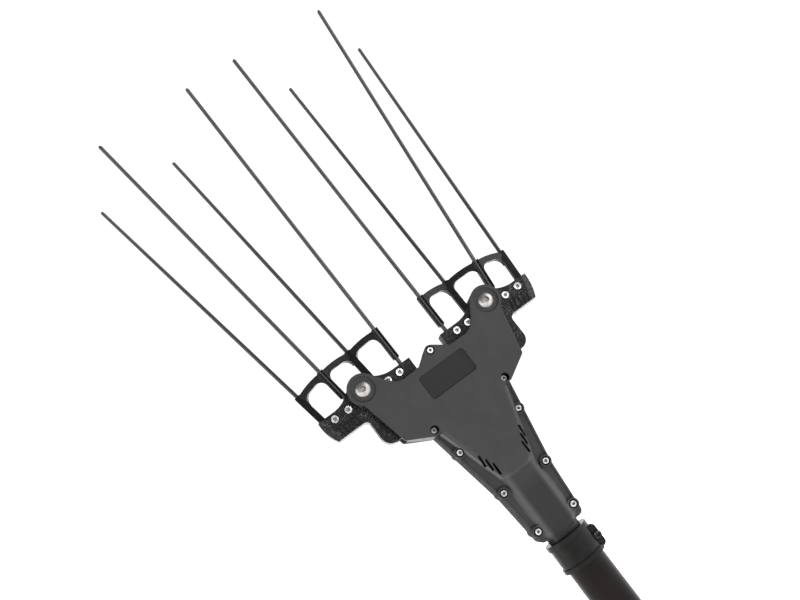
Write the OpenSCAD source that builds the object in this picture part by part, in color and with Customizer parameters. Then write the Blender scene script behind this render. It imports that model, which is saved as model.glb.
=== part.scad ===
// Electric olive harvester: the working head on the top section of its pole.
// Two tined forks rock on pivot bolts at the horn tips of a Y-shaped housing. A motor in the neck turns
// a crankshaft through a bevel pair, and two yoke links carry its throw to the levers under the forks.
// Front is -Y and up is +Z. The origin is the middle of the pole's open lower end.

/* [Forks] */
// Distance between the two fork pivots
pivot_span = 140; // [134:1:160]
// Half swing of each fork, in degrees
swing = 4; // [2:0.25:4]
// Distance of the outer and inner tines from the pivot
tine_far = 43.7; // [42:0.1:46]
// Distance of the two middle tines from the pivot
tine_near = 15; // [14:0.1:17]
// Tine diameter
tine_d = 4; // [3:0.1:4.6]
// Tine length above the arm's seat line
tine_len = 371; // [250:1:420]
// Tine length clamped between the arm halves
tine_grip = 15; // [10:0.5:16]
// Outward fan of the tines from the outer to the inner one, in degrees
fan = [9.8, 7.7, 3.9, 0.4]; // [0:0.1:12]
// Backward lean of the two tines in the front row, in degrees
front_lean = 4.6; // [0:0.1:10]
// Backward lean of the two tines in the back row, in degrees
back_lean = 18; // [10:0.1:22]
// Distance between the two rows where they cross the seat line
row_gap = 3; // [0:0.1:4]

/* [Arms] */
// Thickness of an arm, both halves together
arm_t = 19; // [18:0.2:20]
// Reach of the arm beyond the pivot, away from the middle
arm_out = 49.5; // [48.6:0.1:56]
// Reach of the arm from the pivot towards the middle
arm_in = 52; // [50:0.5:56]
// Height of the arm's block below its top edge
arm_h = 24.2; // [22.6:0.2:26]
// Radius of the round hub at the pivot
hub_r = 14.6; // [13:0.1:15]
// Drop of the lever pin below the pivot
lever_drop = 44; // [42:0.5:45]
// Offset of the lever pin from the pivot towards the middle
lever_in = 7; // [5:0.5:8]
// Reach of the lever beyond the pivot, away from the middle
lever_out = 11.6; // [11:0.1:13]
// Radius of the lever's rounded lower end
lever_r = 10; // [9:0.1:11]

/* [Combs] */
// Distance along each tine from the seat line to the top of the bridge, outer to inner
bridge_at = [40, 44, 48, 46.5]; // [36:0.5:54]
// Height of the bridge bar
bridge_h = 5; // [4:0.5:7]
// Width of a sheath across the tine
sheath_w = 6.4; // [6:0.1:8]
// Depth of a sheath from front to back
sheath_t = 5.6; // [5.2:0.1:7.5]
// Start of the front row's sheaths above the seat line
sheath_lift = 12; // [11:0.5:16]
// Thickness of the bridge bar from front to back
bridge_t = 5; // [4:0.1:5.2]
// Radius of the arch in the corners of the comb
arch_r = 8.5; // [4:0.5:9]

/* [Housing] */
// Thickness of the housing, from face to face
housing_t = 40; // [38:0.5:46]
// Thickness of the front and rear plates
plate_t = 4; // [3:0.1:5]
// Wall of the skirts under the wings
wall = 2.6; // [2:0.1:3]
// Radius of a horn's round end
horn_r = 14.6; // [14:0.1:16]
// Depth of the lower wing corner below the pivots
wing_drop = 60; // [59:0.5:66]
// Half width of the neck flange where it leaves the wings
neck_top_w = 43; // [41:0.5:46]
// Half width of the neck flange at its lower end
neck_end_w = 24; // [22.5:0.5:27]
// Depth of the neck's lower end below the pivots
neck_drop = 207.5; // [205:0.5:225]
// Outer radius of the neck's round end
neck_r = 16.5; // [16:0.1:18]
// Thickness of the flange of one cover, from the joint to its outer face
flange_t = 10.5; // [9:0.5:12]
// Width and height of the bare recess in the front plate
badge = [50, 24]; // [20:1:56]

/* [Drive] */
// Depth of the crank axis below the pivots
crank_drop = 48; // [46:0.5:49]
// Pitch radius of the crown gear
gear_r = 25; // [24:0.5:26]
// Teeth of the crown gear
gear_teeth = 30; // [24:6:36]
// Teeth of the bevel pinion
pinion_teeth = 12; // [10:1:12]
// Radius of the crankshaft's journals
crank_r = 5; // [4:0.1:5.5]
// Radius of an eccentric
eccentric_r = 9; // [8.8:0.1:9.4]
// Radius of the motor can
motor_r = 14; // [13:0.1:14.2]
// Length of the motor can
motor_len = 70; // [50:1:74]
// Radius of the motor shaft
shaft_r = 3; // [2:0.1:3.5]

/* [Pole] */
// Outer diameter of the pole
pole_d = 37; // [34:0.5:40]
// Wall of the pole
pole_wall = 2; // [1.5:0.1:3]
// Length of the pole section
pole_len = 165; // [140:1:1200]
// Height of the clamp collar
collar_h = 23; // [20:0.5:28]
// Wall of the clamp collar
collar_wall = 1.9; // [1.6:0.1:3]
// Free depth of the bore at the pole's lower end
pole_bore = 60; // [50:1:70]

/* [Fasteners and clearances] */
// Radius of a pivot bolt's shank
bolt_r = 5; // [4:0.1:5.2]
// Radius of the cover screws' shanks
screw_r = 1.5; // [1.2:0.1:1.8]
// Radius of the shanks of the arm screws and the collar's screw
clamp_r = 2; // [1.6:0.1:2.2]
// Radial running clearance of pins, shafts and bushes
run_gap = 0.05; // [0.02:0.01:0.08]
// Clearance of a piece that is seated and clamped
seat_gap = 0.2; // [0.1:0.05:0.3]
// Play of an eccentric in its yoke, across the yoke
yoke_play = 0.8; // [0.75:0.05:1]
// Play between two teeth of the bevel pair
backlash = 0.5; // [0.4:0.05:0.7]

/* [Hidden] */
$fn = 64;

half = pivot_span / 2;
face_y = housing_t / 2;
arm_y = arm_t / 2;
cut = 1;

// Heights of the pole and the head
lip_t = 5;
pole_r = pole_d / 2;
bore_r = pole_r - pole_wall;
tube_r = bore_r - 0.4;
pivot_z = pole_len + lip_t + neck_drop;

// Outline of the wings: tab, ledge, scoop up to the horn, horn, wing corner, foot on the neck
tab_z = -9;
tab_r = 6.5;
tab_slope = 62;
ledge_z = -14;
scoop_r = 18;
scoop_x = half - 37;
horn_end = -60;
corner_x = half - 3;
corner_r = 3;
foot = [neck_top_w, -wing_drop - 12];
horn_at = [half, 0];
scoop_at = [scoop_x, ledge_z + scoop_r];
scoop_to_horn = horn_at - scoop_at;
scoop_a = atan2(scoop_to_horn[1], scoop_to_horn[0]) + asin((scoop_r + horn_r) / norm(scoop_to_horn));
corner_at = [corner_x, -wing_drop];

// Outline of the neck: flange with a knee, raised brow that narrows to the bevelled neck
knee = [neck_end_w + 4.2, foot[1] - 78];
flange_end = -neck_drop + 6;
flange_corner_r = 5;
brow_top = [neck_top_w - 4.5, foot[1] - 1];
brow_end = [neck_r + 2.5, foot[1] - 69.5];
brow_round = 8;
// Depth below the face and inset of the brow's edge: face, lower side of the bevel, foot of the flank
brow_edge = [[0, 4.8], [2.5, 1.5], [face_y - flange_t, 0]];
neck_side = neck_r + 1.8;
neck_flat = neck_r - 4;
prism_end = flange_end + 5;
rim_edge = 0.35;
rim_w = 1.6;
rim_h = 1.2;
rim_stop = 5;

// Drive train places, below the pivots
throw = lever_drop * sin(swing);
pin_x = half - lever_in;
crank_z = -crank_drop;
pinion_r = gear_r * pinion_teeth / gear_teeth;
bevel_keep = 0.72;
pinion_base = crank_z - gear_r;
pinion_face = gear_r * (1 - bevel_keep);
gear_y = pinion_r;
gear_face = pinion_r * (1 - bevel_keep);
pinion_hub_h = 8;
motor_top = pinion_base - 22;
motor_plate_t = 5;
motor_bottom = motor_top - motor_plate_t - motor_len;
motor_cap_t = 6;
socket_top = motor_bottom - motor_cap_t - 2;

// Cover screws: x, z and the depth of the seat under the head
screw_head_r = 2.75;
screw_head_h = 3;
head_play = 1.2;
screw_inset = 5;
boss_r = 5.4;
boss_y = flange_t + 3;
flange_screw_z = [foot[1] - 24, knee[1] + 3, flange_end + 11];
wing_screw = [neck_top_w - 3, foot[1] + 5.2];
tab_screw = [0, tab_z + 1.6];
sunk_y = 9.5;

// Arm screws: offset from the pivot, and their height
arm_screw_x = [tine_far - 8.6, tine_near + 5.4, -tine_near - 9, -tine_far + 6.7];
arm_screw_z = -6;
clamp_head_r = 3.5;
clamp_head_h = 4;
clamp_head_out = 1.1;
clamp_nut_h = 3.2;
clamp_nut_r = 4.04;
arm_top = 0;
seat_z = -5;
tine_r = tine_d / 2;

// Pivot stack from front to back
washer_t = 1.4;
horn_boss_y = arm_y + washer_t + 2 * run_gap;
ring_r = 11.6;
ring_depth = 1.2;
bolt_head_r = 7.4;
bolt_head_h = 3.9;
bush_wall = 3;
nut_h = 8;
nut_r = 9.2;
nut_collar_r = 7;
nut_collar_h = 2;
pin_r = 4;
link_bush_wall = 1.5;

// Layers of the drive: links each side of the middle plane, clevis in the lever
link_t = 4.8;
link_gap = 0.4;
clevis_y = link_t + 1.6;
eye_y = clevis_y - 0.3;
bearing_w = 4;
crank_ring = 4.5;
bearing_y = face_y - 2.6 - bearing_w;

// Point at an angle on a circle, and a run of such points
function arc(c, r, from, to, n = 8) =
    [for (i = [0:n]) let (a = from + (to - from) * i / n) c + r * [cos(a), sin(a)]];
function flip(points) = [for (i = [len(points) - 1:-1:0]) [-points[i][0], points[i][1]]];
function neck_half(z) = lookup(z, [[flange_end, neck_end_w], [knee[1], knee[0]], [foot[1], foot[0]]]);
function flange_screws() = [for (z = flange_screw_z) [neck_half(z) - screw_inset, z]];
// Quad along an edge from a to b, laid off to the left by t
function strip(a, b, t) = let (d = (b - a) / norm(b - a), n = t * [-d[1], d[0]]) [a, b, b + n, a + n];

// Right half of the wing outline, from the top of the tab to the foot
function wing_half() = concat(
    arc([0, tab_z], tab_r, 90, tab_slope, 4),
    [[17, ledge_z + 0.5]],
    arc(scoop_at, scoop_r, -90, scoop_a - 90),
    arc(horn_at, horn_r, scoop_a + 90, horn_end, 20),
    arc(corner_at + [-corner_r, corner_r], corner_r, -8, -66, 4),
    [foot]
);
function neck_half_outline() = concat(
    [foot + [0, 1.5], foot, knee],
    arc([neck_end_w - flange_corner_r, flange_end + flange_corner_r], flange_corner_r, 0, -90, 5)
);
// Raised rim just inside the flange's edge, which stops short of the wings
function rim_outline() = let (
    low = [neck_end_w, flange_end + flange_corner_r],
    high = foot + rim_stop * (knee - foot) / norm(knee - foot),
    out = [-rim_edge, 0],
    in = [-rim_edge - rim_w, 0]
) [low + out, knee + out, high + out, high + in, knee + in, low + in];
function brow_half(inset) = concat(
    [brow_top + [-inset, 4], brow_top - [inset, 0]],
    arc(brow_end + [-inset - brow_round, inset + brow_round], brow_round, 0, -90, 4)
);
function brow(inset) = concat(brow_half(inset), flip(brow_half(inset)));

module at_head() {
    translate([0, 0, pivot_z]) children();
}

// Outline in X and Z, given thickness along Y from y0 to y1
module slab(y0, y1) {
    translate([0, y1, 0]) rotate([90, 0, 0]) linear_extrude(y1 - y0) children();
}

// Round bar along Y at x and z
module rod(at, r, y0, y1) {
    translate([at[0], y1, at[1]]) rotate([90, 0, 0]) cylinder(h = y1 - y0, r = r);
}

module both_sides() {
    children();
    mirror([1, 0, 0]) children();
}

// side is 1 on the right and -1 on the left: children are drawn about the right-hand pivot, outward +X
module at_fork(side) {
    at_head() mirror([side < 0 ? 1 : 0, 0, 0]) translate([half, 0, 0]) children();
}

// Round neck and bore of the motor and the socket, along the pole's axis
module neck_barrel(r, z0, z1) {
    translate([0, 0, z0]) cylinder(h = z1 - z0, r = r);
}

// Section of the neck's front half below the brow: a flat front between two bevels
function neck_section() = [
    [neck_side, 0], [neck_side, -flange_t], [neck_flat, -neck_r],
    [-neck_flat, -neck_r], [-neck_side, -flange_t], [-neck_side, 0]];

// One half of the housing, drawn on the front side of the joint plane
module cover_half(shank_r) {
    inner_y = face_y - plate_t;
    brow_layer = 0.2;
    difference() {
        union() {
            slab(-face_y, -inner_y) polygon(concat(wing_half(), flip(wing_half())));
            both_sides() slab(-inner_y - cut, 0)
                polygon(strip(foot, corner_at + [-corner_r, 0.4], wall));
            slab(-flange_t, 0) polygon(concat(neck_half_outline(), flip(neck_half_outline())));
            both_sides() slab(-flange_t - rim_h, -flange_t / 2) polygon(rim_outline());
            hull() for (e = brow_edge)
                slab(e[0] - face_y, e[0] - face_y + brow_layer) polygon(brow(e[1]));
            translate([0, 0, prism_end]) linear_extrude(brow_end[1] + brow_round - prism_end)
                polygon(neck_section());
            intersection() {
                hull() {
                    translate([0, 0, prism_end]) linear_extrude(1) polygon(neck_section());
                    neck_barrel(neck_r, flange_end - 1.5, flange_end - 1);
                }
                slab(-face_y, 0) square(4 * neck_drop, center = true);
            }
            intersection() {
                neck_barrel(neck_r, -neck_drop, prism_end);
                slab(-face_y, 0) square(4 * neck_drop, center = true);
            }
            both_sides() {
                for (p = flange_screws()) rod(p, boss_r, -boss_y, 0);
                rod(wing_screw, boss_r, -inner_y - cut, 0);
                rod(horn_at, horn_r - 1, -inner_y - cut, -horn_boss_y);
            }
            rod(tab_screw, boss_r, -inner_y - cut, 0);
            rod([0, crank_z], bearing_outer_r() + 3, -inner_y - cut, -bearing_y);
        }
        gear_room();
        neck_barrel(motor_r, -neck_drop - cut, motor_top + 0.5);
        both_sides() {
            for (p = flange_screws()) rod(p, shank_r, -face_y, cut);
            rod(wing_screw, shank_r, -face_y - cut, cut);
            rod(horn_at, bolt_r + run_gap, -face_y - cut, 0);
            rod(horn_at, ring_r, -face_y - cut, -face_y + ring_depth);
            vents();
        }
        rod(tab_screw, shank_r, -face_y - cut, cut);
        rod([0, crank_z], bearing_outer_r(), -bearing_y - bearing_w, 0);
        rod([0, crank_z], crank_r + 2, -bearing_y - bearing_w - 0.4, 0);
    }
}

function bearing_outer_r() = crank_r + crank_ring;

// Hollow under the wings that holds the bevel pair, down to the motor's front plate
module gear_room() {
    room_w = brow_top[0] - brow_edge[0][1] - 2 * wall;
    low_z = motor_top + 0.5;
    low_w = room_w - (brow_top[1] - low_z) * (brow_top[0] - brow_end[0]) / (brow_top[1] - brow_end[1]);
    slab(-face_y + plate_t, cut) polygon([
        [room_w, foot[1] + 10], [room_w, brow_top[1]], [low_w, low_z],
        [-low_w, low_z], [-room_w, brow_top[1]], [-room_w, foot[1] + 10]]);
}

// Three cooling slots on one side of the brow, stepped along its bevel, with ducts to the motor's bore
module vents() {
    slot_w = 2.4;
    slot_h = 9.5;
    duct_y = 7;
    duct_x = motor_r - 5;
    first = brow_end + [3.5, 28];
    step = [3.15, 6.4];
    for (i = [0:2]) {
        x = first[0] - step[0] * i;
        translate([0, 0, first[1] - step[1] * i]) {
            slab(-face_y - cut, -flange_t) {
                translate([x, 0]) square([slot_w, slot_h], center = true);
                for (end = [-1, 1]) translate([x, end * slot_h / 2]) circle(d = slot_w);
            }
            slab(-flange_t - cut, -duct_y) translate([(x + duct_x) / 2, 0])
                square([x - duct_x, slot_h / 2], center = true);
        }
    }
}

module front_cover() {
    badge_gap = 7.5;
    badge_depth = 0.8;
    color("dimgray") at_head() difference() {
        cover_half(screw_r + seat_gap);
        both_sides() {
            for (p = flange_screws())
                rod(p, screw_head_r + head_play, -face_y - cut, -boss_y + screw_head_h);
            rod(wing_screw, screw_head_r + head_play, -face_y - cut, -sunk_y);
        }
        rod(tab_screw, screw_head_r + head_play, -face_y - cut, -face_y + screw_head_h);
        translate([0, 0, ledge_z - badge_gap - badge[1] / 2])
            slab(-face_y - cut, -face_y + badge_depth) badge_outline();
    }
}

// Rounded rectangle of the bare recess
module badge_outline() {
    corner = 3.5;
    square([badge[0] - 2 * corner, badge[1]], center = true);
    square([badge[0], badge[1] - 2 * corner], center = true);
    for (x = [-1, 1])
        for (z = [-1, 1])
            translate([x * (badge[0] / 2 - corner), z * (badge[1] / 2 - corner)]) circle(corner);
}

module rear_cover() {
    color("dimgray") at_head() mirror([0, 1, 0]) cover_half(screw_r + run_gap);
}

// Share of a screw head's radius that its hexagon socket takes
socket_share = 0.52;

// Cap screw along Y with a hexagon socket: seat_y is the plane under the head, towards the front
module cap_screw(at, r, head_r, head_h, seat_y, tip_y) {
    difference() {
        union() {
            rod(at, head_r, seat_y - head_h, seat_y);
            rod(at, r, seat_y - 0.5, tip_y);
        }
        translate([at[0], seat_y - head_h / 2, at[1]]) rotate([90, 0, 0])
            cylinder(h = head_h, r = head_r * socket_share, $fn = 6);
    }
}

module cover_screws() {
    deep = face_y - plate_t - 2;
    color("silver") at_head() {
        both_sides() {
            for (p = flange_screws())
                cap_screw(p, screw_r, screw_head_r, screw_head_h, -boss_y + screw_head_h, boss_y - 3);
            cap_screw(wing_screw, screw_r, screw_head_r, screw_head_h, -sunk_y, deep);
        }
        cap_screw(tab_screw, screw_r, screw_head_r, screw_head_h, -face_y + screw_head_h, deep);
    }
}

// Domed head turned about Y, with its flat underside at y = 0 and its crown towards the front
module dome(r, h) {
    ball = (r * r + h * h) / (2 * h);
    steps = 8;
    rotate([90, 0, 0]) rotate_extrude() polygon(concat(
        [[0, 0], [r, 0]],
        [for (i = [0:steps]) let (a = asin(r / ball) * (1 - i / steps))
            [ball * sin(a), h - ball + ball * cos(a)]]));
}

module pivot_bolts() {
    seat = -face_y + ring_depth;
    socket_r = 2.9;
    socket_floor = 1.2;
    color("gainsboro") at_head() both_sides() difference() {
        union() {
            translate([half, seat, 0]) dome(bolt_head_r, bolt_head_h);
            rod(horn_at, bolt_r, seat - 1, face_y + nut_h + 1);
        }
        translate([half, seat - socket_floor, 0]) rotate([90, 0, 0])
            cylinder(h = bolt_head_h, r = socket_r, $fn = 6);
    }
}

module pivot_nuts() {
    color("silver") at_head() both_sides() difference() {
        union() {
            translate([half, face_y - ring_depth, 0]) rotate([-90, 0, 0])
                cylinder(h = nut_h - nut_collar_h, r = nut_r, $fn = 6);
            rod(horn_at, nut_collar_r, face_y - ring_depth, face_y - ring_depth + nut_h);
        }
        rod(horn_at, bolt_r + run_gap, 0, face_y + nut_h + 2);
    }
}

module thrust_washers() {
    color("goldenrod") at_head() both_sides()
        for (y = [-horn_boss_y, arm_y + 2 * run_gap]) difference() {
            rod(horn_at, hub_r - 1.5, y, y + washer_t);
            rod(horn_at, bolt_r + run_gap, y - cut, y + washer_t + cut);
        }
}

// Motor in the neck
rotor_r = motor_r - 4.5;
bearing_ring = 4;
bearing_fit_r = shaft_r + bearing_ring;

module motor_can() {
    color("darkslategray") at_head() difference() {
        neck_barrel(motor_r, motor_bottom, motor_top - motor_plate_t);
        neck_barrel(rotor_r + 0.6, motor_bottom - cut, motor_top);
    }
}

module motor_front_plate() {
    color("silver") at_head() difference() {
        neck_barrel(motor_r, motor_top - motor_plate_t, motor_top);
        neck_barrel(shaft_r + 1.5, motor_bottom, motor_top + cut);
        neck_barrel(bearing_fit_r, motor_top - motor_plate_t - cut, motor_top - 1);
    }
}

module motor_end_cap() {
    color("dimgray") at_head() difference() {
        neck_barrel(motor_r, motor_bottom - motor_cap_t, motor_bottom);
        neck_barrel(bearing_fit_r, motor_bottom - bearing_w, motor_bottom + cut);
    }
}

module motor_bearings() {
    color("lightsteelblue") at_head()
        for (z = [motor_top - 1 - bearing_w, motor_bottom - bearing_w]) difference() {
            neck_barrel(bearing_fit_r, z, z + bearing_w);
            neck_barrel(shaft_r + run_gap, z - cut, z + bearing_w + cut);
        }
}

module motor_rotor() {
    rotor_gap = 1.5;
    color("slategray") at_head() {
        neck_barrel(shaft_r, motor_bottom - bearing_w + 0.5, pinion_base + pinion_face);
        neck_barrel(rotor_r, motor_bottom + rotor_gap, motor_top - motor_plate_t - rotor_gap);
    }
}

// Bevel pair: tooth outlines that taper to the point where the two axes cross, with the teeth's height
// above and depth below the pitch circle of the pinion
tooth_h = 1.35;
tooth_root = 1.6;

module tooth_ring(teeth, r, out, into) {
    pitch = 360 / teeth;
    play = backlash / 2 / (PI * r) * 180;
    polygon([for (i = [0:teeth - 1]) let (a = i * pitch)
        for (p = [[-0.36, -into], [-0.13, out], [0.13, out], [0.36, -into]])
            let (t = a + p[0] * pitch - sign(p[0]) * play) (r + p[1]) * [cos(t), sin(t)]]);
}

module bevel_pinion() {
    color("darkgray") at_head() difference() {
        union() {
            translate([0, 0, pinion_base]) rotate(90 + 180 / pinion_teeth)
                linear_extrude(pinion_face, scale = bevel_keep)
                    tooth_ring(pinion_teeth, pinion_r, tooth_h, tooth_root);
            neck_barrel(pinion_r - tooth_root - 1, pinion_base - pinion_hub_h, pinion_base + 0.2);
        }
        neck_barrel(shaft_r, pinion_base - pinion_hub_h - cut, pinion_base + pinion_face + cut);
    }
}

module crown_gear() {
    slope = gear_r / pinion_r;
    rim_r = gear_r + 1.2;
    back_t = 3;
    color("darkgray") at_head() translate([0, 0, crank_z]) difference() {
        union() {
            intersection() {
                translate([0, gear_y, 0]) rotate([90, 90, 0])
                    linear_extrude(gear_face, scale = bevel_keep)
                        tooth_ring(gear_teeth, gear_r, tooth_h * slope, tooth_root * slope);
                rod([0, 0], rim_r, 0, gear_y + back_t);
            }
            rod([0, 0], gear_r - tooth_root * slope, gear_y - 0.1, gear_y + back_t);
            rod([0, 0], crank_r + 4, gear_y, bearing_y - 0.3);
        }
        rod([0, 0], crank_r, -cut, face_y);
    }
}

module crankshaft() {
    play = 0.15;
    color("lightgray") at_head() translate([0, 0, crank_z]) {
        rod([0, 0], crank_r - run_gap, -bearing_y - bearing_w, -bearing_y + 0.5);
        rod([0, 0], crank_r - run_gap, bearing_y - 0.5, bearing_y + bearing_w);
        rod([0, 0], crank_r, -bearing_y, bearing_y);
        rod([0, throw], eccentric_r, -link_gap - link_t - play, -link_gap + play);
        rod([0, -throw], eccentric_r, link_gap - play, link_gap + link_t + play);
    }
}

module crank_bearings() {
    color("lightsteelblue") at_head() for (y = [-bearing_y - bearing_w, bearing_y]) difference() {
        rod([0, crank_z], bearing_outer_r(), y, y + bearing_w);
        rod([0, crank_z], crank_r, y - cut, y + bearing_w + cut);
    }
}

// Link from the crank to a lever: a slotted yoke round the eccentric and an eye on the lever pin
yoke_wall = 3.6;
eye_r = pin_r + link_bush_wall + 2.6;

module drive_link(side) {
    slot = [eccentric_r + yoke_play, eccentric_r + throw + 0.5];
    bar_h = 9;
    y0 = side > 0 ? link_gap : -link_gap - link_t;
    eye = [pin_x, -lever_drop];
    color("silver") at_head() mirror([side < 0 ? 1 : 0, 0, 0]) difference() {
        union() {
            slab(y0, y0 + link_t) {
                translate([0, crank_z]) square(2 * (slot + [yoke_wall, yoke_wall]), center = true);
                polygon([
                    [slot[0], crank_z - bar_h / 2], [pin_x, -lever_drop - bar_h / 2],
                    [pin_x, -lever_drop + bar_h / 2], [slot[0], crank_z + bar_h / 2 + 3]]);
            }
            rod(eye, eye_r, -eye_y, eye_y);
        }
        translate([0, 0, crank_z]) slab(-face_y, face_y) {
            square(2 * [slot[0], slot[1] - slot[0]], center = true);
            for (end = [-1, 1]) translate([0, end * (slot[1] - slot[0])]) circle(slot[0]);
        }
        rod(eye, pin_r + link_bush_wall, -face_y, face_y);
    }
}

module link_bush(side) {
    eye = [pin_x, -lever_drop];
    color("goldenrod") at_head() mirror([side < 0 ? 1 : 0, 0, 0]) difference() {
        rod(eye, pin_r + link_bush_wall, -eye_y, eye_y);
        rod(eye, pin_r + run_gap, -face_y, face_y);
    }
}

// Outline of an arm and its lever about the pivot: hub, outer block, lever, inner block
scallop_r = 30;
end_bow = 1.8;
end_slope = 6;
scallop_at = [sqrt(pow(hub_r + scallop_r, 2) - pow(arm_top + scallop_r, 2)), arm_top + scallop_r];
scallop_a = atan2(scallop_at[1], scallop_at[0]);
arm_low = arm_top - arm_h;
lever_back = lever_in + 9.5;
lever_fillet = 5;
inner_low = arm_low + 3.5;
lever_end = -lever_drop - 10.8;

// Bowed outer end from its top corner a to its lower corner b
function bowed(a, b) = let (d = b - a, n = end_bow * 4 * [-d[1], d[0]] / norm(d))
    [for (i = [0:8]) let (t = i / 8) a + d * t + n * t * (1 - t)];

function arm_outline() = concat(
    arc([0, 0], hub_r, 180 - scallop_a, scallop_a, 16),
    arc(scallop_at, scallop_r, 180 + scallop_a, 270),
    bowed([arm_out, arm_top], [arm_out - end_slope, arm_low]),
    arc([lever_out + lever_fillet, arm_low - lever_fillet], lever_fillet, 90, 180, 6),
    arc([lever_out - lever_r, lever_end + lever_r], lever_r, 0, -90, 10),
    arc([-lever_back + 6, lever_end + 6], 6, -90, -180, 5),
    arc([-lever_back - lever_fillet, inner_low - lever_fillet], lever_fillet, 0, 90, 6),
    [[-arm_in + 3, inner_low], [-arm_in, inner_low + 4], [-arm_in, arm_top]],
    arc([-scallop_at[0], scallop_at[1]], scallop_r, 270, 360 - scallop_a)
);

// Seats of the tines, from the outer (0) to the inner one (3): the even ones stand in the back row
tine_x = [tine_far, tine_near, -tine_near, -tine_far];
function in_front(i) = i % 2 == 1;

// Children are drawn with the tine's axis along Z from the seat line
module along_tine(i) {
    translate([tine_x[i], in_front(i) ? -row_gap / 2 : row_gap / 2, seat_z])
        rotate([in_front(i) ? -front_lean : -back_lean, fan[i], 0]) children();
}

// Bevel along the bowed end of a front half
module end_bevel() {
    width = 5;
    slope = 0.58;
    over = 8;
    translate([arm_out, -arm_y, arm_top]) rotate([0, atan(end_slope / arm_h), 0])
        translate([0, 0, -2 * arm_h]) linear_extrude(3 * arm_h)
            polygon([[-width - cut / slope, -cut], [over, -cut], [over, (width + over) * slope]]);
}

module arm_half(front) {
    rib_w = 2;
    rib_pitch = 4.6;
    rib_depth = 0.8;
    rib_top = -12;
    rib_lean = 1.8;
    hole_r = clamp_r + run_gap;
    difference() {
        slab(front ? -arm_y : 0, front ? 0 : arm_y) polygon(arm_outline());
        rod([0, 0], bolt_r + bush_wall, -face_y, face_y);
        rod([-lever_in, -lever_drop], pin_r, -face_y, face_y);
        for (i = [0:3]) along_tine(i) translate([0, 0, -tine_grip]) cylinder(h = 60, r = tine_r);
        for (x = arm_screw_x) rod([x, arm_screw_z], hole_r, -face_y, face_y);
        // Clevis in the lever for the link's eye
        slab(-clevis_y, clevis_y) polygon([
            [-arm_in, -lever_drop + eye_r + 4], [-lever_in, -lever_drop + eye_r + 4],
            [-lever_in + eye_r + 1, -lever_drop + 4], [-lever_in + eye_r + 1, lever_end - cut],
            [-arm_in, lever_end - cut]]);
        if (front) {
            for (x = arm_screw_x)
                rod([x, arm_screw_z], clamp_head_r + 0.5, -face_y, -arm_y + clamp_head_h - clamp_head_out);
            end_bevel();
            // Moulded grooves across the outer and inner blocks
            for (i = [0:4]) translate([tine_far - 7 - rib_pitch * i, 0, 0]) slab(-face_y, -arm_y + rib_depth)
                polygon([
                    [0, rib_top], [rib_w, rib_top],
                    [rib_w - rib_lean, arm_low + rib_w], [-rib_lean, arm_low + rib_w]]);
            for (i = [0:4]) translate([rib_pitch * (i + 1) - arm_in, 0, 0]) slab(-face_y, -arm_y + rib_depth)
                polygon([
                    [0, rib_top], [rib_w, rib_top],
                    [rib_w, inner_low + rib_w], [0, inner_low + rib_w]]);
        } else {
            for (x = arm_screw_x) translate([x, arm_y - clamp_nut_h, arm_screw_z]) rotate([-90, 0, 0])
                cylinder(h = face_y, r = clamp_nut_r + seat_gap / 2, $fn = 6);
        }
    }
}

module arm_screws(side) {
    seat_y = -arm_y + clamp_head_h - clamp_head_out;
    color("silver") at_fork(side) for (x = arm_screw_x)
        cap_screw([x, arm_screw_z], clamp_r, clamp_head_r, clamp_head_h, seat_y, arm_y);
}

module arm_nuts(side) {
    color("silver") at_fork(side) for (x = arm_screw_x) difference() {
        translate([x, arm_y - clamp_nut_h, arm_screw_z]) rotate([-90, 0, 0])
            cylinder(h = clamp_nut_h - seat_gap, r = clamp_nut_r, $fn = 6);
        rod([x, arm_screw_z], clamp_r + run_gap, 0, face_y);
    }
}

module pivot_bush(side) {
    color("goldenrod") at_fork(side) difference() {
        rod([0, 0], bolt_r + bush_wall, -arm_y, arm_y);
        rod([0, 0], bolt_r + run_gap, -face_y, face_y);
    }
}

module lever_pin(side) {
    color("silver") at_fork(side) rod([-lever_in, -lever_drop], pin_r, -arm_y, arm_y);
}

module tine(side, i) {
    tip_h = 1.2;
    color("darkslategray") at_fork(side) along_tine(i) {
        translate([0, 0, -tine_grip]) cylinder(h = tine_grip + tine_len - tip_h, r = tine_r);
        translate([0, 0, tine_len - tip_h]) cylinder(h = tip_h, r1 = tine_r, r2 = tine_r - 0.5);
    }
}

// Block round a tine, from s0 to s1 along it
module sheath(i, s0, s1) {
    along_tine(i) translate([-sheath_w / 2, -sheath_t / 2, s0]) cube([sheath_w, sheath_t, s1 - s0]);
}

// Middle of a tine at the distance s along it
function tine_point(i, s) = let (lean = in_front(i) ? front_lean : back_lean) [
    tine_x[i] + s * cos(lean) * sin(fan[i]),
    (in_front(i) ? -row_gap : row_gap) / 2 + s * sin(lean),
    seat_z + s * cos(lean) * cos(fan[i])
];

// Bar of the bridge from tine i to the next one inward, with an arched underside
module bridge_bar(i) {
    from = tine_point(i + 1, bridge_at[i + 1] - bridge_h / 2);
    to = tine_point(i, bridge_at[i] - bridge_h / 2);
    run = to - from;
    flat = norm([run[0], run[1]]);
    leg = sheath_w / 2;
    low = -bridge_h / 2;
    span = norm(run);
    reach = span / 2 - tine_r - 0.5;
    crown = 1.2;
    translate(from) rotate([0, -atan2(run[2], flat), atan2(run[1], run[0])])
        slab(-bridge_t / 2, bridge_t / 2) polygon(concat(
            [for (k = [0:8]) let (t = 1 - k / 4) [span / 2 + reach * t, -low + crown * (1 - t * t)]],
            [[span / 2 - reach, low - arch_r]],
            arc([leg + arch_r, low - arch_r], arch_r, 180, 90),
            arc([span - leg - arch_r, low - arch_r], arch_r, 90, 0),
            [[span / 2 + reach, low - arch_r]]));
}

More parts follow.
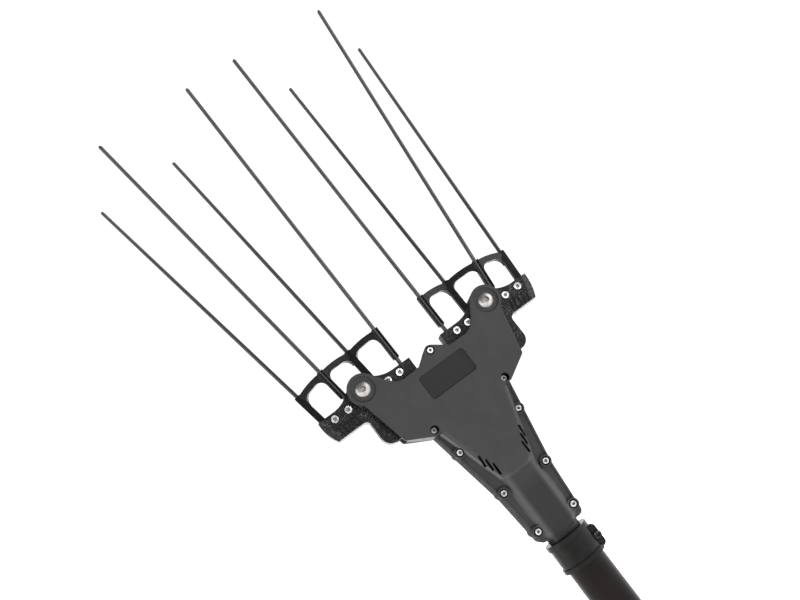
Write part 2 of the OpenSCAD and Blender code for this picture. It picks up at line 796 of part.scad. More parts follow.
module comb(side) {
    sheath_top = 0.6;
    groove_r = tine_r + seat_gap / 2;
    color("dimgray") at_fork(side) difference() {
        union() {
            for (i = [0:3]) sheath(i, in_front(i) ? sheath_lift : 0, bridge_at[i] + sheath_top);
            for (i = [0:2]) bridge_bar(i);
        }
        slab(-face_y, face_y) polygon(arm_outline());
        for (i = [0:3]) along_tine(i) {
            translate([0, 0, -tine_grip]) cylinder(h = 2 * bridge_at[i], r = groove_r);
            translate([-groove_r, in_front(i) ? -sheath_t : 0, -tine_grip])
                cube([2 * groove_r, sheath_t, 2 * bridge_at[i]]);
        }
    }
}

// Socket that the covers clamp in the neck: plug, flange lip and the spigot inside the pole
module pole_socket() {
    spigot_len = 48;
    plug_len = neck_drop + socket_top;
    wire_wall = 3;
    lip_out = 3.3;
    color("darkgray") difference() {
        union() {
            translate([0, 0, pole_len - spigot_len]) {
                cylinder(h = spigot_len + lip_t + plug_len, r = motor_r);
                cylinder(h = spigot_len, r = tube_r - run_gap);
            }
            translate([0, 0, pole_len]) cylinder(h = lip_t, r = pole_r + lip_out);
        }
        translate([0, 0, -cut]) cylinder(h = pivot_z, r = motor_r - wire_wall);
    }
}

module pole_tube() {
    color([0.16, 0.15, 0.14]) difference() {
        cylinder(h = pole_len, r = pole_r);
        translate([0, 0, -cut]) cylinder(h = pole_len + 2 * cut, r = tube_r);
        translate([0, 0, -cut]) cylinder(h = pole_bore + cut, r = bore_r);
    }
}

// Split clamp collar with two ears on the right, rounded at their corners
collar_r = pole_r + collar_wall;
collar_top = pole_len - seat_gap;
collar_low = collar_top - collar_h;
bead_h = 4;
bead_out = 1.3;
slit = 1.6;
ear_x = pole_r + 6;
ear_y = 8;
ear_corner = 4;
ear_low = collar_low + 1;
ear_top = collar_top - 0.5;
collar_screw = [pole_r + 2.9, collar_low + collar_h / 2];
collar_seat_y = -ear_y + 2;
collar_nut_r = 3.8;
collar_nut_h = 3;

module clamp_collar() {
    color([0.18, 0.18, 0.18]) difference() {
        union() {
            translate([0, 0, collar_low]) cylinder(h = collar_h, r = collar_r);
            translate([0, 0, collar_low]) cylinder(h = bead_h, r = collar_r + bead_out);
            slab(-ear_y, ear_y) {
                polygon([
                    [0, ear_low], [ear_x - ear_corner, ear_low],
                    [ear_x - ear_corner, ear_top], [0, ear_top]]);
                polygon([
                    [0, ear_low + ear_corner], [ear_x, ear_low + ear_corner],
                    [ear_x, ear_top - ear_corner], [0, ear_top - ear_corner]]);
            }
            for (z = [ear_low + ear_corner, ear_top - ear_corner])
                rod([ear_x - ear_corner, z], ear_corner, -ear_y, ear_y);
        }
        translate([0, 0, collar_low - cut]) cylinder(h = collar_h + 2 * cut, r = pole_r);
        translate([0, -slit / 2, collar_low - cut]) cube([2 * ear_x, slit, collar_h + 2 * cut]);
        rod(collar_screw, clamp_r + run_gap, -2 * ear_y, 2 * ear_y);
        rod(collar_screw, clamp_head_r + seat_gap, -2 * ear_y, collar_seat_y);
        collar_hexagon(collar_nut_r + seat_gap / 2, collar_nut_h + cut);
    }
}

// Hexagon at the back of the ears, with a flat towards the pole
module collar_hexagon(r, h) {
    translate([collar_screw[0], ear_y - collar_nut_h, collar_screw[1]]) rotate([-90, 30, 0])
        cylinder(h = h, r = r, $fn = 6);
}

module clamp_screw() {
    color("silver") cap_screw(collar_screw, clamp_r, clamp_head_r, clamp_head_h, collar_seat_y, ear_y);
}

module clamp_nut() {
    color("silver") difference() {
        collar_hexagon(collar_nut_r, collar_nut_h);
        rod(collar_screw, clamp_r + run_gap, 0, 2 * ear_y);
    }
}

// Two-pin inlet plug seated in the pole, above the free bore
inlet_h = 22;
inlet_floor = 6;
inlet_wall = 3.6;
inlet_pin_x = 5;
inlet_pin_r = 1.6;

module power_inlet() {
    color([0.12, 0.12, 0.12]) translate([0, 0, pole_bore]) difference() {
        cylinder(h = inlet_h, r = tube_r);
        translate([0, 0, -cut]) cylinder(h = inlet_h - inlet_floor + cut, r = tube_r - inlet_wall);
        for (x = [-inlet_pin_x, inlet_pin_x])
            translate([x, 0, 0]) cylinder(h = inlet_h + cut, r = inlet_pin_r);
    }
}

module inlet_pins() {
    pin_rise = 2;
    color("gold") for (x = [-inlet_pin_x, inlet_pin_x])
        translate([x, 0, pole_bore + pin_rise]) cylinder(h = inlet_h, r = inlet_pin_r);
}

front_cover();
rear_cover();
cover_screws();
pivot_bolts();
pivot_nuts();
thrust_washers();
motor_can();
motor_front_plate();
motor_end_cap();
motor_bearings();
motor_rotor();
bevel_pinion();
crankshaft();
crown_gear();
crank_bearings();
drive_link(-1);  // left_drive_link
drive_link(1);  // right_drive_link
link_bush(-1);  // left_link_bush
link_bush(1);  // right_link_bush
color("black") at_fork(-1) arm_half(true);  // left_front_arm
color("black") at_fork(-1) arm_half(false);  // left_rear_arm
pivot_bush(-1);  // left_pivot_bush
lever_pin(-1);  // left_lever_pin
arm_screws(-1);  // left_arm_screws
arm_nuts(-1);  // left_arm_nuts
comb(-1);  // left_comb
tine(-1, 0);  // left_tine_1
tine(-1, 1);  // left_tine_2
tine(-1, 2);  // left_tine_3
tine(-1, 3);  // left_tine_4
color("black") at_fork(1) arm_half(true);  // right_front_arm
color("black") at_fork(1) arm_half(false);  // right_rear_arm
pivot_bush(1);  // right_pivot_bush
lever_pin(1);  // right_lever_pin
arm_screws(1);  // right_arm_screws
arm_nuts(1);  // right_arm_nuts
comb(1);  // right_comb
tine(1, 0);  // right_tine_1
tine(1, 1);  // right_tine_2
tine(1, 2);  // right_tine_3
tine(1, 3);  // right_tine_4
pole_socket();
pole_tube();
clamp_collar();
clamp_screw();
clamp_nut();
power_inlet();
inlet_pins();
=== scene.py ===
from math import radians

import bpy
from mathutils import Matrix, Vector


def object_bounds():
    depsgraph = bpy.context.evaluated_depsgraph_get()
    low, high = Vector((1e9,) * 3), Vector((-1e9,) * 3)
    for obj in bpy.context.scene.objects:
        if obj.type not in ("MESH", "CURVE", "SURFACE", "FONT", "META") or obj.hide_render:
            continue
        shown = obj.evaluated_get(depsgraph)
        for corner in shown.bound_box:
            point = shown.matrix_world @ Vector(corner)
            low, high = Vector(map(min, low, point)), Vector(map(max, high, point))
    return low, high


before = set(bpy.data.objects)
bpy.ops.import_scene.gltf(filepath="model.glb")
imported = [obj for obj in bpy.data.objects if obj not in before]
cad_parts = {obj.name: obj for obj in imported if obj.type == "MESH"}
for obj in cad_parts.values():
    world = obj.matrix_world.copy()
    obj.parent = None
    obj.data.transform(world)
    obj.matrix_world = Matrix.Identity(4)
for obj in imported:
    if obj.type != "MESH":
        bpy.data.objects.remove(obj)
cad_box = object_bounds()

# Motor can and rotor: a cup drawn from sheet steel, and a ground steel rotor that turns in it on two small
# bearings. The motor slides into the neck as one unit.


class Shade:
    """A socket of a finish in the making. Arithmetic on it adds Math nodes."""

    def __init__(self, tree, socket=None):
        self.tree = tree
        self.socket = socket

    def add(self, kind, settings, sockets, out=0):
        node = self.tree.nodes.new(kind)
        for name, value in settings.items():
            setattr(node, name, value)
        for name, value in sockets.items():
            if isinstance(value, Shade):
                self.tree.links.new(value.socket, node.inputs[name])
            else:
                node.inputs[name].default_value = value
        return Shade(self.tree, node.outputs[out])

    def maths(self, operation, a, b):
        return self.add("ShaderNodeMath", {"operation": operation}, {0: a, 1: b})

    def __add__(self, other):
        return self.maths("ADD", self, other)

    def __radd__(self, other):
        return self.maths("ADD", other, self)

    def __sub__(self, other):
        return self.maths("SUBTRACT", self, other)

    def __rsub__(self, other):
        return self.maths("SUBTRACT", other, self)

    def __mul__(self, other):
        return self.maths("MULTIPLY", self, other)

    def __rmul__(self, other):
        return self.maths("MULTIPLY", other, self)

    def __gt__(self, other):
        return self.maths("GREATER_THAN", self, other)

    def __lt__(self, other):
        return self.maths("LESS_THAN", self, other)

    def within(self, middle, reach):
        return self.add("ShaderNodeMath", {"operation": "COMPARE"}, {0: self, 1: middle, 2: reach})

    def between(self, low, high):
        sockets = {"Value": self, "From Min": low, "From Max": high}
        return self.add("ShaderNodeMapRange", {"clamp": True}, sockets)

    def mix(self, first, second):
        factor, first_colour, second_colour, mixed_colour = 0, 6, 7, 2
        sockets = {factor: self, first_colour: first, second_colour: second}
        return self.add("ShaderNodeMix", {"data_type": "RGBA"}, sockets, mixed_colour)

    def axis(self, letter):
        return self.add("ShaderNodeSeparateXYZ", {}, {"Vector": self}, letter)

    def noise(self, scale, detail=2.0, stretch=(1.0, 1.0, 1.0)):
        stretched = self.add("ShaderNodeMapping", {}, {"Vector": self, "Scale": stretch})
        return self.add("ShaderNodeTexNoise", {}, {"Vector": stretched, "Scale": scale, "Detail": detail})

    def crevices(self, reach):
        return self.add("ShaderNodeAmbientOcclusion", {"samples": 6}, {"Distance": reach}, "AO")

    def soft_edges(self, radius):
        return self.add("ShaderNodeBevel", {"samples": 4}, {"Radius": radius}, "Normal")

    def bump(self, depth, normal):
        sockets = {"Strength": 1.0, "Distance": depth, "Height": self, "Normal": normal}
        return self.add("ShaderNodeBump", {}, sockets, "Normal")


def new_finish(name, metallic=0.0, coat=0.0, specular=0.5):
    finish = bpy.data.materials.new(name)
    finish.use_nodes = True
    tree = finish.node_tree
    shader = tree.nodes["Principled BSDF"]
    shader.inputs["Metallic"].default_value = metallic
    shader.inputs["Coat Weight"].default_value = coat
    shader.inputs["Specular IOR Level"].default_value = specular
    place = Shade(tree).add("ShaderNodeTexCoord", {}, {}, "Object")
    return finish, shader, place


def feed(shader, **sockets):
    names = {"colour": "Base Color", "roughness": "Roughness", "normal": "Normal"}
    for name, value in sockets.items():
        value.tree.links.new(value.socket, shader.inputs[names[name]])


def dress(finish, *nodes):
    for name in nodes:
        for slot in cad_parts[name].material_slots:
            slot.material = finish


can_colour = (0.34, 0.34, 0.35, 1)
can_stain = (0.2, 0.2, 0.21, 1)
can_steel, shader, place = new_finish("drawn_can_steel", metallic=1.0)
draw_marks = place.noise(scale=90, detail=3, stretch=(12, 12, 0.4))
stain = place.noise(scale=40, detail=4).between(0.35, 0.75)
feed(shader,
     colour=stain.mix(can_colour, can_stain),
     roughness=0.28 + draw_marks * 0.22,
     normal=draw_marks.bump(depth=0.00006, normal=place.soft_edges(radius=0.0004)))
dress(can_steel, "motor_can", "motor_rotor")

# Motor front plate: an aluminium plate that closes the can towards the pinion.
# It is turned on a lathe, which leaves fine rings on its face.
plate_colour = (0.55, 0.55, 0.56, 1)
plate_shade = (0.42, 0.42, 0.44, 1)
plate_alloy, shader, place = new_finish("turned_plate_alloy", metallic=1.0)
turning = place.add("ShaderNodeTexWave", {"wave_type": "RINGS", "rings_direction": "Z"},
                    {"Vector": place, "Scale": 260, "Distortion": 0.6}, "Fac")
feed(shader,
     colour=turning.mix(plate_colour, plate_shade),
     roughness=0.3 + turning * 0.12,
     normal=turning.bump(depth=0.00003, normal=place.soft_edges(radius=0.0003)))
dress(plate_alloy, "motor_front_plate")

# Motor end cap: a black plastic cap that closes the can towards the pole.
# It is injection moulded, with a fine grain from the mould.
cap_colour = (0.022, 0.022, 0.023, 1)
cap_grey = (0.04, 0.04, 0.042, 1)
cap_plastic, shader, place = new_finish("moulded_cap_plastic")
grain = place.noise(scale=1500)
feed(shader,
     colour=grain.between(0.3, 0.7).mix(cap_colour, cap_grey),
     roughness=0.5 + grain * 0.15,
     normal=grain.bump(depth=0.00005, normal=place.soft_edges(radius=0.0004)))
dress(cap_plastic, "motor_end_cap")

# Bevel pair, crankshaft and lever pins: case-hardened steel, cut and ground, with grease in the roots.
# The pinion sits on the motor shaft, the crown gear on the crankshaft and the pins in the fork levers.
gear_colour = (0.33, 0.33, 0.34, 1)
grease = (0.09, 0.07, 0.045, 1)
gear_steel, shader, place = new_finish("greased_gear_steel", metallic=1.0)
grind = place.noise(scale=700, stretch=(1, 0.15, 1))
bare = place.crevices(reach=0.003).between(0.35, 0.9)
wiped = bare * place.noise(scale=110, detail=3).between(0.25, 0.6)
feed(shader,
     colour=wiped.mix(grease, gear_colour),
     roughness=0.42 - wiped * 0.16 + grind * 0.1,
     normal=grind.bump(depth=0.00004, normal=place.soft_edges(radius=0.0003)))
dress(gear_steel, "bevel_pinion", "crown_gear", "crankshaft", "left_lever_pin", "right_lever_pin")

# Bearings of the motor and the crank: hardened steel rings, ground and lapped bright.
# They sit on their shafts, in seats of the motor and of the two covers.
ring_colour = (0.5, 0.5, 0.51, 1)
ring_dark = (0.3, 0.3, 0.31, 1)
ring_steel, shader, place = new_finish("bearing_ring_steel", metallic=1.0)
lapping = place.noise(scale=900, stretch=(1, 0.1, 1))
feed(shader,
     colour=lapping.mix(ring_dark, ring_colour),
     roughness=0.16 + lapping * 0.14,
     normal=lapping.bump(depth=0.00002, normal=place.soft_edges(radius=0.0005)))
dress(ring_steel, "motor_bearings", "crank_bearings")

# Drive links: two flat aluminium forgings, tumbled smooth.
# Each has a yoke round its eccentric and an eye on the lever pin.
link_colour = (0.52, 0.52, 0.53, 1)
link_dull = (0.38, 0.38, 0.39, 1)
link_alloy, shader, place = new_finish("forged_link_alloy", metallic=1.0)
forged_skin = place.noise(scale=160, detail=4)
tumbled = place.noise(scale=900, detail=3)
feed(shader,
     colour=forged_skin.between(0.3, 0.7).mix(link_colour, link_dull),
     roughness=0.36 + tumbled * 0.2,
     normal=(tumbled + forged_skin * 0.5).bump(depth=0.00008, normal=place.soft_edges(radius=0.0008)))
dress(link_alloy, "left_drive_link", "right_drive_link")

# Bushes and thrust washers: sintered bronze with open pores that hold oil.
# The bushes line the eyes of the links and the fork hubs. The washers take the side thrust at the horns.
bronze_colour = (0.45, 0.27, 0.1, 1)
bronze_pore = (0.17, 0.095, 0.035, 1)
bush_bronze, shader, place = new_finish("sintered_bronze", metallic=1.0)
pores = place.noise(scale=2200, detail=3).between(0.36, 0.55)
feed(shader,
     colour=pores.mix(bronze_pore, bronze_colour),
     roughness=0.5 - pores * 0.16,
     normal=pores.bump(depth=0.00003, normal=place.soft_edges(radius=0.0003)))
dress(bush_bronze, "left_link_bush", "right_link_bush", "left_pivot_bush", "right_pivot_bush",
      "thrust_washers")

# Fork arms: black nylon filled with glass fibre, moulded with a speckled skin.
# Two halves are screwed together on each fork and clamp its four tines.
arm_black = (0.0024, 0.0023, 0.0023, 1)
arm_fibre = (0.125, 0.121, 0.117, 1)
arm_nylon, shader, place = new_finish("glass_filled_nylon", specular=0.22)
fibres = place.noise(scale=560, detail=4, stretch=(1, 1, 2.5))
patches = place.noise(scale=140, detail=3)
speckle = (fibres * 0.8 + patches * 0.2).between(0.55, 0.66)
# In crevices the speckle is dimmed: painted shade.
wear_and_crevice_shade = place.crevices(reach=0.006).between(0.2, 0.9)
feed(shader,
     colour=(speckle * (0.65 + wear_and_crevice_shade * 0.35)).mix(arm_black, arm_fibre),
     roughness=0.4 + speckle * 0.2,
     normal=(fibres * 0.8 + patches * 0.4).bump(depth=0.00026, normal=place.soft_edges(radius=0.0009)))
dress(arm_nylon, "left_front_arm", "left_rear_arm", "right_front_arm", "right_rear_arm")

# Combs: arched spacers with four sheaths, moulded in black nylon with faint flow marks.
# Each slips over the tines of its fork from above and holds them apart.
comb_black = (0.003, 0.003, 0.0032, 1)
comb_grey = (0.01, 0.01, 0.0105, 1)
comb_nylon, shader, place = new_finish("comb_nylon", specular=0.3)
flow = place.noise(scale=260, detail=4, stretch=(1, 1, 0.5))
grain = place.noise(scale=1600)
feed(shader,
     colour=flow.between(0.4, 0.7).mix(comb_black, comb_grey),
     roughness=0.36 + grain * 0.14,
     normal=(grain + flow * 0.6).bump(depth=0.00009, normal=place.soft_edges(radius=0.0008)))
dress(comb_nylon, "left_comb", "right_comb")

# Tines: pultruded carbon rods, dark grey with fine streaks along them, clamped between the arm halves.
# Each has its own finish, turned by the tine's fan and lean so that the streaks run true, and grows paler
# towards its tip.
tine_dark = (0.017, 0.0157, 0.0152, 1)
tine_grey = (0.053, 0.05, 0.0485, 1)
tine_pale = (0.082, 0.082, 0.081, 1)
pale_start_z, pale_end_z = 0.44, 0.73
tine_fan, front_lean, back_lean = (9.8, 7.7, 3.9, 0.4), 4.6, 18.0
streak_length = 60
for side, turn in (("left", -1), ("right", 1)):
    for i, fan in enumerate(tine_fan):
        tine_carbon, shader, place = new_finish(f"{side}_pultruded_carbon_{i + 1}", specular=0.6)
        lean = front_lean if i % 2 else back_lean
        slant = (radians(-lean), radians(turn * fan), 0)
        along = place.add("ShaderNodeMapping", {"vector_type": "TEXTURE"},
                          {"Vector": place, "Rotation": slant, "Scale": (1, 1, streak_length)})
        streaks = along.noise(scale=1500)
        mottle = along.noise(scale=90)
        carbon = (streaks * 0.6 + mottle * 0.4).between(0.32, 0.68).mix(tine_dark, tine_grey)
        paler = place.axis("Z").between(pale_start_z, pale_end_z) * (0.6 + streaks * 0.6)
        feed(shader,
             colour=paler.mix(carbon, tine_pale),
             roughness=0.2 + streaks * 0.1 + mottle * 0.06,
             normal=streaks.bump(depth=0.00003, normal=place.soft_edges(radius=0.0003)))
        dress(tine_carbon, f"{side}_tine_{i + 1}")

# Arm screws, cover screws and nuts: zinc-plated steel with hexagon sockets, hazy where the plate has aged.
# The arm screws clamp the tines, the cover screws hold the two covers, and the nuts at the back are duller.
zinc_colour = (0.64, 0.64, 0.63, 1)
zinc_haze = (0.33, 0.33, 0.325, 1)
arm_socket_shade = (0.2, 0.2, 0.2, 1)
cover_socket_shade = (0.09, 0.09, 0.09, 1)
nut_grey = (0.3, 0.3, 0.29, 1)
nut_haze = (0.15, 0.15, 0.145, 1)
bright_roughness, dull_roughness = 0.38, 0.6


def zinc_plate(name, bright, hazy, socket, roughness, *nodes):
    finish, shader, place = new_finish(name, metallic=1.0)
    haze = place.noise(scale=420, detail=3)
    # The hexagon sockets and other hollows are darkened with painted shade.
    outside_socket_shade = place.crevices(reach=0.004).between(0.5, 0.85)
    plated = haze.between(0.42, 0.6).mix(bright, hazy)
    feed(shader,
         colour=outside_socket_shade.mix(socket, plated),
         roughness=roughness - outside_socket_shade * 0.14 + haze * 0.12,
         normal=haze.bump(depth=0.00003, normal=place.soft_edges(radius=0.0005)))
    dress(finish, *nodes)


zinc_plate("bright_zinc", zinc_colour, zinc_haze, arm_socket_shade, bright_roughness,
           "left_arm_screws", "right_arm_screws")
zinc_plate("oiled_zinc", zinc_colour, zinc_haze, cover_socket_shade, bright_roughness, "cover_screws")
zinc_plate("dull_zinc", nut_grey, nut_haze, cover_socket_shade, dull_roughness,
           "left_arm_nuts", "right_arm_nuts", "pivot_nuts")

# Housing covers: two shells moulded in grey nylon with a fine spark-eroded grain, screwed together round
# the drive. Painted shade darkens the recess, the neck's front, the flange's outer sides and the crevices;
# painted light pales the neck's bevels and the brow's flanks; the flange's edges are pale, partly rubbed
# wear and partly a painted highlight.
cover_grey = (0.036, 0.036, 0.0364, 1)
cover_light = (0.046, 0.046, 0.0465, 1)
flange_grey = (0.035, 0.035, 0.0354, 1)
flange_light = (0.047, 0.047, 0.0475, 1)
recess_shade_grey = (0.019, 0.019, 0.0193, 1)
neck_front_shade_grey = (0.023, 0.023, 0.0233, 1)
neck_bevel_painted_light = (0.072, 0.072, 0.0725, 1)
side_shade_grey = (0.01, 0.01, 0.01, 1)
flank_painted_light = (0.12, 0.12, 0.1205, 1)
crevice_shade_grey = (0.02, 0.02, 0.02, 1)
edge_wear_and_highlight_grey = (0.15, 0.15, 0.15, 1)
bevel_y, rim_y, side_y, flange_y = -0.0195, -0.0125, -0.0118, -0.0105
recess_y, recess_z, recess_half_x, recess_half_z = -0.0196, 0.344, 0.0249, 0.0119
neck_flat_x, neck_edge_x, neck_side_x = 0.0095, 0.0138, 0.0186
neck_fade_z, neck_top_z, neck_start_z = 0.2175, 0.2395, 0.2435
flank_x, flank_slope, flank_z, flank_half_z = 0.0296, 0.285, 0.272, 0.0325


def grained_nylon(name, node, dark, light):
    finish, shader, place = new_finish(name, specular=0.22)
    grain = place.noise(scale=2600)
    cloud = place.noise(scale=28, detail=3)
    streak = place.noise(scale=160, detail=4, stretch=(1, 1, 0.4))
    open_face = place.crevices(reach=0.006).between(0.15, 0.8)
    x, y, z = (place.axis(letter) for letter in "XYZ")
    facing = place.add("ShaderNodeNewGeometry", {}, {}, "Normal")
    sideways = facing.axis("X")
    upright = (sideways * sideways).between(0.5, 0.8)

    face = 1.0 - y.between(bevel_y, rim_y)
    # The badge recess is darkened with painted shade.
    recess = x.within(0.0, recess_half_x) * z.within(recess_z, recess_half_z)
    recess = recess * (y > recess_y) * (rim_y > y)
    below = (1.0 - z.between(neck_top_z, neck_start_z)) * (flange_y > y)
    flat = 1.0 - (x * x).between(neck_flat_x ** 2, neck_edge_x ** 2)
    # The neck's flat front is darkened with painted shade, fading in below the brow.
    neck_front = below * flat * (1.0 - z.between(neck_fade_z, neck_start_z))
    # The neck's bevels are made paler with painted light.
    neck_bevels = below * x.within(0.0, neck_side_x) * (1.0 - flat)
    # Sideways-facing walls low on the flange are darkened with painted shade.
    sides = upright * (y > side_y)
    # The brow's side walls are made paler with painted light from the side.
    foot_x = flank_x + (z - flank_z) * flank_slope
    flanks = upright * (flange_y > y) * (foot_x * foot_x > x * x) * z.within(flank_z, flank_half_z)
    rounded = place.soft_edges(radius=0.0014)
    turned = place.add("ShaderNodeVectorMath", {"operation": "DOT_PRODUCT"}, {0: rounded, 1: facing}, "Value")
    # Edges on the flange side are made pale: partly rubbed wear, partly a painted highlight.
    edge_wear_and_highlight = (1.0 - turned).between(0.02, 0.25) * open_face * (0.3 + streak * 0.9) * (y > rim_y)

    wear_and_crevice_shade = (cloud * 0.7 + streak * 0.3).between(0.3, 0.7)
    tone = face.mix(wear_and_crevice_shade.mix(flange_grey, flange_light), wear_and_crevice_shade.mix(dark, light))
    tone = neck_bevels.mix(neck_front.mix(tone, neck_front_shade_grey), neck_bevel_painted_light)
    tone = sides.mix(recess.mix(tone, recess_shade_grey), side_shade_grey)
    # Crevices go near-black with painted shade.
    tone = open_face.mix(crevice_shade_grey, edge_wear_and_highlight.mix(tone, edge_wear_and_highlight_grey))
    feed(shader,
         colour=flanks.mix(tone, flank_painted_light),
         roughness=0.48 + grain * 0.14 + cloud * 0.06 + recess * 0.1 + sides * 0.3,
         normal=(grain + streak * 0.3).bump(depth=0.00008, normal=place.soft_edges(radius=0.0016)))
    dress(finish, node)


grained_nylon("grained_cover_nylon", "front_cover", cover_grey, cover_light)
grained_nylon("grained_rear_nylon", "rear_cover", flange_grey, flange_light)

# Pivot bolts: button-head steel bolts, nickel plated and a little rubbed, with hexagon sockets.
# They pass through the horns and the fork hubs, and plain nuts hold them at the back.
nickel_colour = (0.48, 0.46, 0.44, 1)
nickel_dull = (0.31, 0.296, 0.283, 1)
bolt_socket_shade = (0.1, 0.09, 0.085, 1)
bolt_nickel, shader, place = new_finish("nickel_plate", metallic=1.0)
rubbing = place.noise(scale=300, detail=4)
# The hexagon socket and hollows round the head are darkened with painted shade.
outside_socket_shade = place.crevices(reach=0.004).between(0.3, 0.8)
plated = rubbing.between(0.35, 0.7).mix(nickel_colour, nickel_dull)
feed(shader,
     colour=outside_socket_shade.mix(bolt_socket_shade, plated),
     roughness=0.36 + rubbing * 0.2,
     normal=rubbing.bump(depth=0.00005, normal=place.soft_edges(radius=0.0007)))
dress(bolt_nickel, "pivot_bolts")

# Pole socket: an aluminium plug, turned on a lathe and anodised black.
# The two covers clamp its upper end in the neck, and its spigot reaches into the pole.
anodised = (0.004, 0.0037, 0.0034, 1)
anodised_light = (0.011, 0.0098, 0.009, 1)
socket_alloy, shader, place = new_finish("black_anodised_socket", coat=0.12, specular=0.1)
lathe = place.add("ShaderNodeTexWave", {"bands_direction": "Z"},
                  {"Vector": place, "Scale": 420, "Distortion": 0.4}, "Fac")
feed(shader,
     colour=lathe.mix(anodised, anodised_light),
     roughness=0.3 + lathe * 0.1,
     normal=lathe.bump(depth=0.00004, normal=place.soft_edges(radius=0.0006)))
dress(socket_alloy, "pole_socket")

# Pole: a drawn aluminium tube under a gloss black lacquer with a faint brown tone.
# Fine draw lines and a few scuffs run along it, and it is pushed on the socket's spigot.
pole_black = (0.0009, 0.0005, 0.0004, 1)
pole_brown = (0.0078, 0.0036, 0.0022, 1)
pole_lacquer, shader, place = new_finish("black_pole_lacquer", coat=0.5, specular=0.02)
shader.inputs["Coat Roughness"].default_value = 0.09
shader.inputs["Coat IOR"].default_value = 1.3
draw_lines = place.noise(scale=900, detail=3, stretch=(1, 1, 0.02))
cloud = place.noise(scale=60, detail=3, stretch=(1, 1, 0.3))
scuffs = place.noise(scale=420, detail=5, stretch=(1, 1, 0.25)).between(0.62, 0.78)
browned = (cloud * 0.6 + draw_lines * 0.4).between(0.35, 0.65)
feed(shader,
     colour=browned.mix(pole_black, pole_brown),
     roughness=0.3 + draw_lines * 0.14 + scuffs * 0.2,
     normal=(draw_lines + scuffs * 0.4).bump(depth=0.00005, normal=place.soft_edges(radius=0.0006)))
dress(pole_lacquer, "pole_tube")

# Clamp collar: a split ring with two ears, moulded in black nylon.
# It sits round the pole's upper end and is pulled tight by a screw through the ears.
collar_black = (0.0035, 0.0032, 0.0029, 1)
collar_grey = (0.009, 0.008, 0.0072, 1)
collar_nylon, shader, place = new_finish("collar_nylon", coat=0.1, specular=0.1)
flow = place.noise(scale=180, detail=4)
grain = place.noise(scale=1800)
feed(shader,
     colour=flow.between(0.35, 0.7).mix(collar_black, collar_grey),
     roughness=0.34 + grain * 0.14,
     normal=(grain + flow * 0.5).bump(depth=0.00007, normal=place.soft_edges(radius=0.0008)))
dress(collar_nylon, "clamp_collar")

# Clamp screw and nut: blackened steel, rubbed bare in spots.
# They pull the two ears of the collar together.
blackened = (0.03, 0.03, 0.031, 1)
bare_steel = (0.3, 0.3, 0.3, 1)
screw_black, shader, place = new_finish("blackened_screw", metallic=1.0)
rubbed_bare = place.noise(scale=500, detail=4).between(0.55, 0.75)
feed(shader,
     colour=rubbed_bare.mix(blackened, bare_steel),
     roughness=0.42 - rubbed_bare * 0.1,
     normal=rubbed_bare.bump(depth=0.00003, normal=place.soft_edges(radius=0.0004)))
dress(screw_black, "clamp_screw", "clamp_nut")

# Power inlet and its pins: a block of the same black plastic as the motor's end cap, fixed inside the pole.
# The two contact pins are brass, a little tarnished, and are moulded into it.
brass_colour = (0.62, 0.43, 0.15, 1)
brass_dull = (0.4, 0.26, 0.09, 1)
pin_brass, shader, place = new_finish("contact_brass", metallic=1.0)
tarnish = place.noise(scale=350, detail=4)
feed(shader,
     colour=tarnish.between(0.4, 0.7).mix(brass_colour, brass_dull),
     roughness=0.2 + tarnish * 0.2,
     normal=tarnish.bump(depth=0.00003, normal=place.soft_edges(radius=0.0003)))
dress(cap_plastic, "power_inlet")
dress(pin_brass, "inlet_pins")

# Studio: a wide floor of pale paper just under the pole's end, and a surround that is white to the camera
# but darker in front, so that the black pieces keep their shape. Five large soft boxes light the tool.
floor_gap, floor_span, floor_glow = 0.001, 40, 0.85
paper_white, paper_bright = (0.9, 0.9, 0.9, 1), (0.92, 0.92, 0.92, 1)
bpy.ops.mesh.primitive_plane_add(size=floor_span, location=(0, 0, cad_box[0].z - floor_gap))
floor = bpy.context.object
floor.name = "floor"
floor_paper, shader, place = new_finish("pale_paper")
shader.inputs["Emission Color"].default_value = (1, 1, 1, 1)
shader.inputs["Emission Strength"].default_value = floor_glow
pulp = place.noise(scale=3, detail=3)
feed(shader,
     colour=pulp.mix(paper_white, paper_bright),
     roughness=0.85 + pulp * 0.1)
floor.data.materials.append(floor_paper)

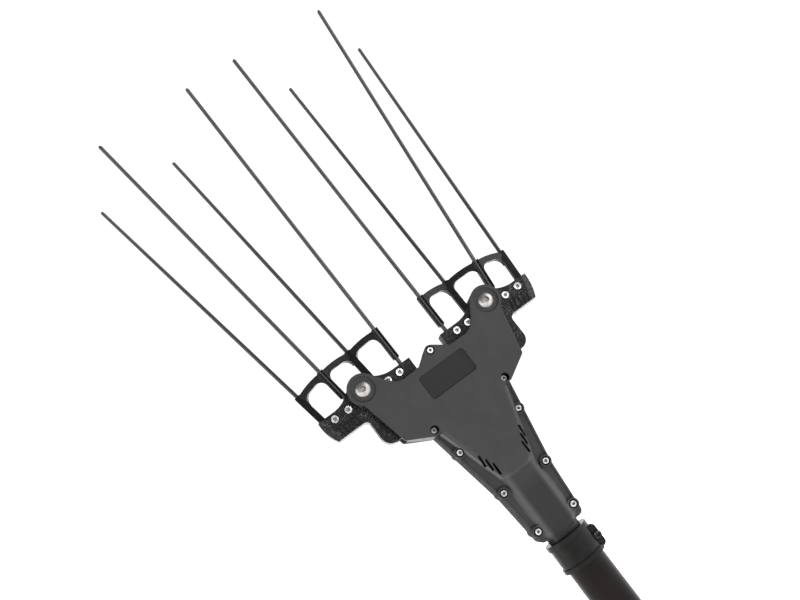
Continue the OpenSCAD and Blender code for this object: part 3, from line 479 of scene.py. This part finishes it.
surround_front, surround_back, surround_seen = (0.13, 0.13, 0.13, 1), (0.6, 0.6, 0.6, 1), (1, 1, 1, 1)
surround_strength = 1.15
world = bpy.data.worlds.new("studio")
bpy.context.scene.world = world
world.use_nodes = True
sky = Shade(world.node_tree)
depth = sky.add("ShaderNodeTexCoord", {}, {}, "Generated").axis("Y")
surround = depth.between(-0.35, 0.45).mix(surround_front, surround_back)
seen = sky.add("ShaderNodeLightPath", {}, {}, "Is Camera Ray")
backdrop = world.node_tree.nodes["Background"]
world.node_tree.links.new(seen.mix(surround, surround_seen).socket, backdrop.inputs["Color"])
backdrop.inputs["Strength"].default_value = surround_strength

lit_middle = Vector((0, 0, 0.42))


def soft_box(name, stand, size, watts):
    light = bpy.data.lights.new(name, "AREA")
    light.shape = "RECTANGLE"
    light.size, light.size_y = size
    light.energy = watts
    lamp = bpy.data.objects.new(name, light)
    lamp.location = stand
    lamp.visible_camera = False
    lamp.rotation_euler = (lit_middle - Vector(stand)).to_track_quat("-Z", "Y").to_euler()
    bpy.context.collection.objects.link(lamp)


soft_box("left_box", stand=(-1.3, -0.25, 0.55), size=(0.7, 1.3), watts=10)
soft_box("right_box", stand=(1.4, -0.4, 0.8), size=(0.7, 1.3), watts=13)
soft_box("front_box", stand=(0.35, -1.6, 0.8), size=(0.6, 0.6), watts=6)
soft_box("top_box", stand=(0.2, 0.8, 2.0), size=(1.6, 1.0), watts=26)
soft_box("low_box", stand=(0.0, 0.9, 0.1), size=(1.2, 0.6), watts=6)

# Camera: stands low and a little to the left of the tool and looks slightly up at it.
# Its roll lays the pole to the lower right, as in the photograph.
pivot_height = 0.3775
eye = Vector((-0.1352, -0.7708, pivot_height - 0.0901))
ahead = Vector((0.1818, 0.9675, 0.1757)).normalized()
tilted_up = Vector((0.5702, -0.2493, 0.7827))
right = ahead.cross(tilted_up).normalized()
up = right.cross(ahead)
focal_pixels, photo_pixels, sensor_width = 846.1, 800, 36
lens = bpy.data.cameras.new("photo_camera")
lens.sensor_fit = "HORIZONTAL"
lens.sensor_width = sensor_width
lens.lens = focal_pixels / photo_pixels * sensor_width
lens.clip_start = 0.01
camera = bpy.data.objects.new("photo_camera", lens)
camera.matrix_world = Matrix((
    (right.x, up.x, -ahead.x, eye.x),
    (right.y, up.y, -ahead.y, eye.y),
    (right.z, up.z, -ahead.z, eye.z),
    (0, 0, 0, 1)))
bpy.context.collection.objects.link(camera)
bpy.context.scene.camera = camera
bpy.context.scene.view_settings.view_transform = "Standard"
